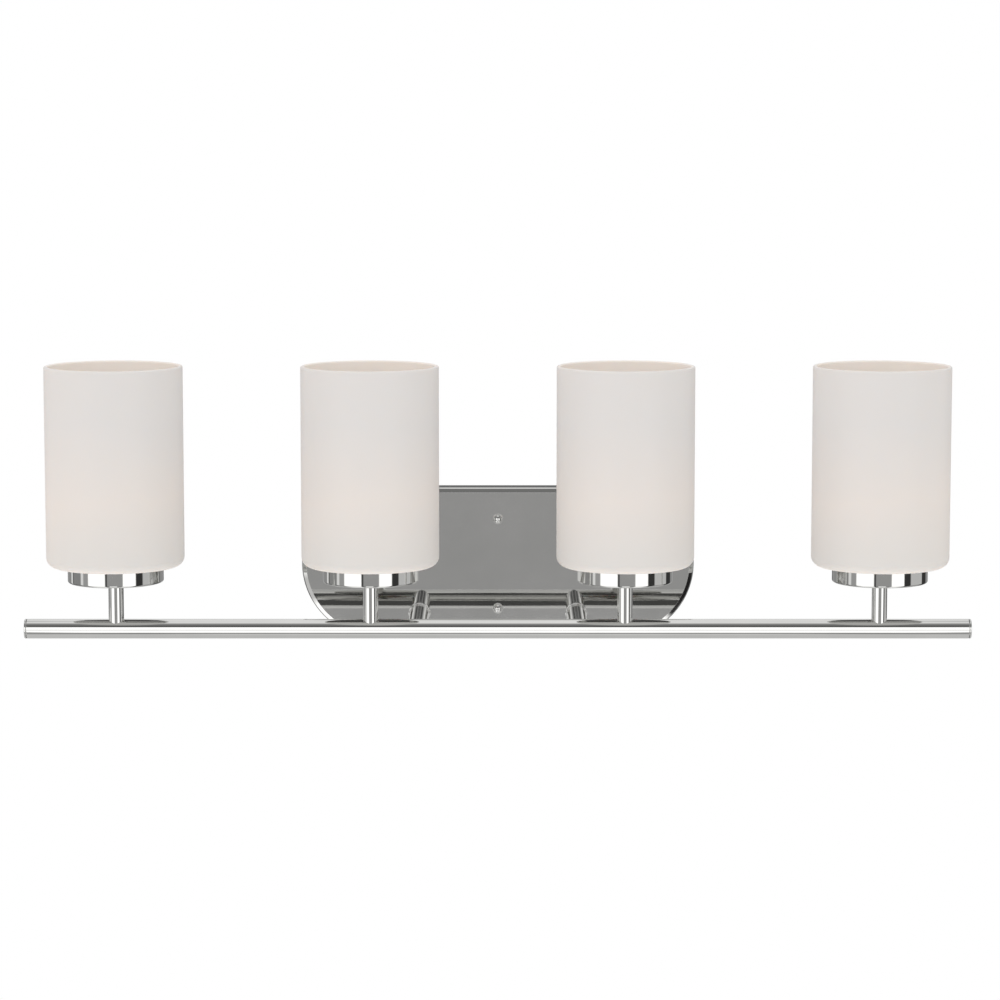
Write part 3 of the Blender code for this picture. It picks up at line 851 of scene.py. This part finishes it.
def socket_mesh():
    """Glazed body: a contact boss on its floor, a stepped crown and a shoulder below the ring."""
    bottom, top = heights("socket_1")
    radius = width("socket_1") / 2
    bore, floor = 14.7 * MM, 54 * MM
    boss, boss_top = 3.2 * MM, 56.3 * MM
    profile = [(0, boss_top), (boss, boss_top, 0.5 * MM)]
    profile += [(boss, floor, 0.4 * MM), (bore, floor, 0.8 * MM)]
    crown, nipple_end = radius - 0.6 * MM, bottom + 10 * MM
    profile += [(bore, top, 0.5 * MM), (crown, top, 0.9 * MM), (crown, top - 5 * MM, 0.5 * MM)]
    profile += [(radius, top - 5.6 * MM, 0.4 * MM), (radius, bottom, 0.9 * MM)]
    profile += [(POST_BORE, bottom, 0.5 * MM), (POST_BORE, nipple_end, 0.5 * MM), (0, nipple_end)]
    return turned("socket", profile, 96)


def shell_mesh():
    """The lampholder's rolled screw shell."""
    bottom, top = heights("screw_shell_1")
    outer, inner = 14.4 * MM, 13.7 * MM
    spacing = LAMP_THREAD / 10
    profile = wall(outer, top, bottom, spacing) + wall(inner, bottom, top, spacing)
    cut = thread((outer, inner), THREAD_DEPTH, LAMP_THREAD, bottom, top)
    return turned("screw_shell", profile, 96, cut)


def ring_mesh():
    """The ring that clamps the glass: a knurled edge between two narrow lips."""
    bottom, top = heights("shade_ring_1")
    radius = width("shade_ring_1") / 2
    bore = width("socket_1") / 2 + FIT
    lip, edge = 1 * MM, 0.3 * MM
    knurls, knurl_depth = 72, 0.6 * MM
    band = radius - 0.01 * MM
    profile = [(radius - edge, top), (radius, top - edge), (radius, top - lip)]
    profile += [(band, top - lip - 0.2 * MM), (band, bottom + lip + 0.2 * MM)]
    profile += [(radius, bottom + lip), (radius, bottom + edge), (radius - edge, bottom)]
    profile += [(bore + edge, bottom), (bore, bottom + edge), (bore, top - edge), (bore + edge, top)]

    def knurled(radii, angle, height):
        between = (height > bottom + lip + 0.1 * MM) & (height < top - lip - 0.1 * MM)
        wave = 0.5 - 0.5 * np.cos(knurls * angle)
        return radii - knurl_depth * wave * between * (radii > radius - 0.1 * MM)

    return turned("shade_ring", profile, 432, knurled)


def contact_mesh():
    """The solder button under the bulb."""
    bottom, top = heights("bulb_contact_1")
    radius = width("bulb_contact_1") / 2
    profile = [(0, top), (radius, top, 0.3 * MM), (3.1 * MM, bottom + 0.35 * MM, 0.5 * MM)]
    profile += [(2.2 * MM, bottom + 0.05 * MM), (0, bottom)]
    return turned("bulb_contact", profile, 48)


def base_mesh():
    """The bulb's screw base: a smooth collar, then a rolled thread down to the insulator."""
    bottom, top = heights("bulb_base_1")
    radius = width("bulb_base_1") / 2
    skin = 1 * MM
    thread_top = top - 4 * MM
    shoulder = bottom + 3 * MM
    profile = [(radius, top, 0.3 * MM)] + wall(radius, top - 0.6 * MM, shoulder, LAMP_THREAD / 10)
    profile += [(9.2 * MM, bottom + 1.6 * MM, 0.3 * MM), (9.2 * MM, bottom + 4 * MM)]
    profile += [(radius - skin, bottom + 4.6 * MM), (radius - skin, top, 0.3 * MM)]
    cut = thread((radius,), THREAD_DEPTH, LAMP_THREAD, shoulder, thread_top)
    return turned("bulb_base", profile, 96, cut)


def insulator_mesh():
    """The black glass between the screw base and the contact."""
    bottom = heights("bulb_base_1")[0]
    radius, top = 9 * MM, bottom + 3.8 * MM
    profile = [(0, top), (radius, top, 0.2 * MM), (radius, bottom + 1.5 * MM, 0.4 * MM)]
    profile += [(5 * MM, bottom, 0.6 * MM), (0, bottom)]
    return turned("bulb_insulator", profile, 64)


def bulb_mesh():
    """A pear shape: a half sphere that runs smoothly down into the neck and the base."""
    top = heights("bulb_glass_1")[1]
    radius = width("bulb_glass_1") / 2
    centre = top - radius
    neck, neck_height = 14 * MM, heights("bulb_base_1")[1] + 2.5 * MM
    stem = width("bulb_base_1") / 2 - 1 * MM - FIT
    steps = 24
    profile = arc((0, centre), radius, 90, 0, steps)
    profile[0] = (0, top)
    for step in range(1, steps + 1):
        along = step / steps
        swell = math.cos(along * math.pi / 2) ** 2
        profile.append((neck + (radius - neck) * swell, centre + (neck_height - centre) * along))
    shoulder = neck_height - 1.9 * MM
    bottom = heights("bulb_glass_1")[0]
    profile += [(neck, shoulder, 0.5 * MM), (stem, shoulder, 0.3 * MM)]
    profile += [(stem, bottom, 0.5 * MM), (0, bottom)]
    return turned("bulb_glass", profile, 128)


def make_lead(number):
    """Sleeved lead: down the nipple, along the bar, back through an arm and up into a wire nut."""
    x = middle(f"post_{number}").x
    side = math.copysign(1, x)
    # An inner lamp's lead runs above an outer one's, and turns up into the nut before it.
    lane = 1 if number in (2, 3) else -1
    height = BAR_Z + lane * LEAD_LANE
    node = "wire_nut_live" if side < 0 else "wire_nut_neutral"
    nut = middle(node)
    nut_x = nut.x + side * lane * LEAD_LANE
    corners = [
        (x, BAR_Y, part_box(f"nipple_{number}")[1].z + 2 * MM),
        (x, BAR_Y, height),
        (side * ARM_X, BAR_Y, height),
        (side * ARM_X, nut.y, height),
        (nut_x, nut.y, height),
        (nut_x, nut.y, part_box(node)[0].z + 6 * MM),
    ]
    curve = bpy.data.curves.new(f"lead_{number}", "CURVE")
    curve.dimensions = "3D"
    curve.bevel_depth = LEAD_RADIUS
    curve.bevel_resolution = 5
    curve.use_fill_caps = True
    path = bent(corners, 4 * MM, 10)
    spline = curve.splines.new("POLY")
    spline.points.add(len(path) - 1)
    for point, position in zip(spline.points, path):
        point.co = (*position, 1)
    spline.use_smooth = True
    piece(f"lead_{number}", curve, "lead_insulation")


def bent(corners, radius, steps):
    """A path through corner points, each inner corner rounded off."""
    corners = [Vector(corner) for corner in corners]
    path = [corners[0]]
    for before, corner, after in zip(corners, corners[1:], corners[2:]):
        start = corner + (before - corner).normalized() * radius
        end = corner + (after - corner).normalized() * radius
        for step in range(steps + 1):
            along = step / steps
            path.append(start.lerp(corner, along).lerp(corner.lerp(end, along), along))
    return path + [corners[-1]]


def make_lamps():
    """Four lamps that share their meshes. A bulb rides its own body, its contact the foot under it."""
    shapes = {
        "post": (post_mesh(), "chrome", FIXTURE),
        "nipple": (nipple_mesh(), "zinc_steel", FIXTURE),
        "shade_cup": (cup_mesh(), "chrome", FIXTURE),
        "glass_shade": (shade_mesh(), "opal_glass", FIXTURE),
        "socket": (socket_mesh(), "porcelain", FIXTURE),
        "screw_shell": (shell_mesh(), "brass", FIXTURE),
        "shade_ring": (ring_mesh(), "chrome", FIXTURE),
        "bulb_contact": (contact_mesh(), "tin", "bulb_{}_foot"),
        "bulb_base": (base_mesh(), "nickel", "bulb_{}"),
        "bulb_glass": (bulb_mesh(), "bulb_glass", "bulb_{}"),
    }
    insulator = insulator_mesh()
    insulator.materials.append(black_glass())
    for number in LAMPS:
        at = (middle(f"post_{number}").x, BAR_Y, BAR_Z)
        for kind, (mesh, slot, body) in shapes.items():
            obj = piece(f"{kind}_{number}", mesh, slot, at, body=body.format(number))
            obj.visible_glossy = kind != "glass_shade"  # the polished plate shows no image of the glass
        obj = placed(f"bulb_insulator_{number}", insulator)
        obj.location = at
        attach(obj, f"bulb_{number}")
        make_lead(number)


# ---- studio ----


def make_floor():
    """A plain pale floor, well below the fixture."""
    radius, drop = 3, 1.6
    finish = Finish("studio_floor")
    tints = (0.3, (0.95, 0.97, 0.99)), (0.7, (0.97, 0.99, 1.0))
    finish.colour(finish.colours(finish.noise(2, 3), *tints))
    finish.roughness(finish.between(finish.noise(5, 2), 0.8, 0.9))
    mesh = bpy.data.meshes.new("floor")
    shape = bmesh.new()
    bmesh.ops.create_circle(shape, cap_ends=True, segments=96, radius=radius)
    shape.to_mesh(mesh)
    shape.free()
    mesh.materials.append(finish.material)
    floor = placed("studio_floor", mesh)
    floor.location = (0, 0, -drop)
    floor.visible_glossy = False


def make_camera():
    """A long lens in front of the fixture, a little above it and tilted down to it."""
    right, distance, height, tilt = 1.8 * MM, 2925 * MM, 409 * MM, 6.97
    camera = bpy.data.cameras.new("camera")
    camera.lens = 125.5
    camera.sensor_width = 36
    obj = placed("camera", camera)
    obj.location = (right, -distance, height)
    obj.rotation_euler = (math.radians(90 - tilt), 0, 0)
    bpy.context.scene.camera = obj


CARD = 1.75  # brightness of a white card


class Studio:
    """World light as a function of direction: soft for matt surfaces, banded for polished ones."""

    BRIGHTEST = 2.6  # of the profiles, which are stored as shares of this

    def __init__(self):
        world = bpy.data.worlds.new("studio")
        world.use_nodes = True
        bpy.context.scene.world = world
        self.nodes, self.links = world.node_tree.nodes, world.node_tree.links
        self.shader = self.nodes["Background"]
        way = self.nodes.new("ShaderNodeTexCoord").outputs["Generated"]
        split = self.nodes.new("ShaderNodeSeparateXYZ")
        self.links.new(way, split.inputs["Vector"])
        self.x, self.y, self.z = split.outputs
        self.height = self.math("ARCSINE", self.z)
        self.bearing = self.math("ARCTAN2", self.x, self.math("MULTIPLY", self.y, -1.0))

    def math(self, operation, *values):
        node = self.nodes.new("ShaderNodeMath")
        node.operation = operation
        for socket, value in zip(node.inputs, values):
            if isinstance(value, (int, float)):
                socket.default_value = value
            else:
                self.links.new(value, socket)
        return node.outputs["Value"]

    def by_height(self, stops):
        return self.profile(self.height, stops, -90, 90)

    def by_bearing(self, stops):
        return self.profile(self.bearing, stops, -180, 180)

    def profile(self, angle, stops, lowest, highest):
        """Brightness along an angle in degrees, from (angle, brightness) stops."""
        share = self.nodes.new("ShaderNodeMapRange")
        share.inputs["From Min"].default_value = math.radians(lowest)
        share.inputs["From Max"].default_value = math.radians(highest)
        self.links.new(angle, share.inputs["Value"])
        node = self.nodes.new("ShaderNodeValToRGB")
        ramp = node.color_ramp
        while len(ramp.elements) < len(stops):
            ramp.elements.new(0.5)
        for element, (degrees, brightness) in zip(ramp.elements, stops):
            element.position = (degrees - lowest) / (highest - lowest)
            element.color = (*[brightness / self.BRIGHTEST] * 3, 1)
        self.links.new(share.outputs["Result"], node.inputs["Fac"])
        return self.math("MULTIPLY", node.outputs["Color"], self.BRIGHTEST)

    def mixed(self, share, first, second, kind="FLOAT"):
        node = self.nodes.new("ShaderNodeMix")
        node.data_type = kind
        at = {"FLOAT": (2, 3, 0), "RGBA": (6, 7, 2)}[kind]
        for index, value in zip(at[:2], (first, second)):
            socket = node.inputs[index]
            if isinstance(value, (int, float, tuple)):
                socket.default_value = value
            else:
                self.links.new(value, socket)
        self.links.new(share, node.inputs[0])
        return node.outputs[at[2]]


def bands(*edges, soft=1.0):
    """Stops of a stepped profile from each band's (start, brightness), its edges soft degrees wide."""
    stops = []
    for (start, value), (_, before) in zip(edges[1:], edges):
        stops += [(start - soft / 2, before), (start + soft / 2, value)]
    return [(edges[0][0], edges[0][1])] + stops


def make_studio():
    """White cards and dark gaps round the fixture, for polished metal, in an even soft light."""
    studio = Studio()
    glossy, behind = card_light(studio)
    path = studio.nodes.new("ShaderNodeLightPath")
    again = studio.math("GREATER_THAN", path.outputs["Ray Depth"], 2.5)
    glossy = studio.mixed(again, glossy, second_light(studio, glossy, behind))
    light = studio.mixed(path.outputs["Is Glossy Ray"], soft_light(studio), glossy, "RGBA")
    light = studio.mixed(path.outputs["Is Camera Ray"], light, (1.0, 1.0, 1.0, 1), "RGBA")
    studio.links.new(light, studio.shader.inputs["Color"])


def card_light(studio):
    """What polished metal shows first, and the share of it that comes from behind the fixture.

    A narrow band in front has the levels that the bar shows. The rest has upright cards, which the
    cups, the posts and the canopy's edge show, and so has the strip that the canopy's face shows.
    """
    levels = [
        (-90, 0.72), (-52, 0.85), (-49, 0.2), (-42, 0.2), (-38, 1.6), (-31, CARD), (24, CARD),
        (27, 0.11), (38, 0.15), (50, 0.23), (68, 0.44), (78, 1.0), (90, 1.15),
    ]
    cards = bands(
        (-180, 0.35), (-128, 1.0), (-120, 0.15), (-115, 0.33), (-87, 1.0), (-79, 0.45), (-64, CARD),
        (-20, 0.06), (-15, 0.42), (23, CARD), (55, 0.05), (74, 0.7), (115, 0.05), (138, 0.35), soft=2,
    )
    fading = [
        (-90, 1), (-37, 1), (-31, 0.45), (-18, 0.45), (-11, 1), (20, 1), (34, 0.6), (90, 0.6),
    ]
    wall_levels = [(-90, 0.72), (-15, 0.72), (-10, 0.17), (12, 0.17), (16, 1.0), (90, 1.1)]
    rise = studio.by_height(levels)
    columns = studio.math("MULTIPLY", studio.by_bearing(cards), studio.by_height(fading))
    at_side = studio.by_bearing(bands((-180, 0), (-160, 1), (-9.5, 0), (9.5, 1), (160, 0)))
    at_level = studio.by_height([(-90, 0), (-62, 0), (-56, 1), (34, 1), (40, 0)])
    in_strip = studio.by_bearing(bands((-180, 0), (-20, 1), (23, 0), soft=2))
    strip_level = studio.by_height([(-90, 0), (-10, 0), (-9.5, 1), (-5.2, 1), (-4.7, 0)])
    behind = studio.by_bearing(bands((-180, 1), (-160, 0), (160, 1), soft=4))
    glossy = studio.mixed(studio.math("MULTIPLY", at_side, at_level), rise, columns)
    glossy = studio.mixed(studio.math("MULTIPLY", in_strip, strip_level), glossy, columns)
    return studio.mixed(behind, glossy, studio.by_height(wall_levels)), behind


def second_light(studio, first, behind):
    """What polished metal shows in polished metal: duller, dark behind, and streaked for the arms."""
    dull = studio.math("MULTIPLY_ADD", first, 0.3, 0.7)
    dull = studio.mixed(behind, dull, 0.12)
    in_front = studio.by_height([(-90, 0), (-3, 0), (-2, 1), (9, 1), (10, 0)])
    streaks = bands(
        (-180, 1.1), (-8, 0.45), (-6.4, 0.1), (-4, 0.36), (-1.8, 0.06), (1.8, 0.36), (4, 0.1),
        (6.4, 0.45), (8, 1.1), soft=0.6,
    )
    return studio.mixed(in_front, dull, studio.by_bearing(streaks))


def soft_light(studio):
    """Light on everything else: even, a little warm at the sides and dimmer on the right."""
    side = studio.nodes.new("ShaderNodeMapRange")
    side.inputs["From Min"].default_value = -1
    studio.links.new(studio.x, side.inputs["Value"])
    node = studio.nodes.new("ShaderNodeValToRGB")
    node.color_ramp.elements.new(0.5)
    left, front, right = (0.545, 0.5, 0.465), (0.525, 0.5225, 0.52), (0.465, 0.4325, 0.4025)
    for element, position, tint in zip(node.color_ramp.elements, (0, 0.5, 1), (left, front, right)):
        element.position, element.color = position, (*tint, 1)
    studio.links.new(side.outputs["Result"], node.inputs["Fac"])
    strength = studio.nodes.new("ShaderNodeVectorMath")
    strength.operation = "SCALE"
    strength.inputs["Scale"].default_value = 2
    studio.links.new(node.outputs["Color"], strength.inputs["Vector"])
    return strength.outputs["Vector"]


make_canopy()
make_strap()
make_stud_hardware()
make_wire_nuts()
make_bar()
make_arms()
make_lamps()
make_floor()
make_camera()
make_studio()
bpy.context.scene.view_settings.view_transform = "Standard"
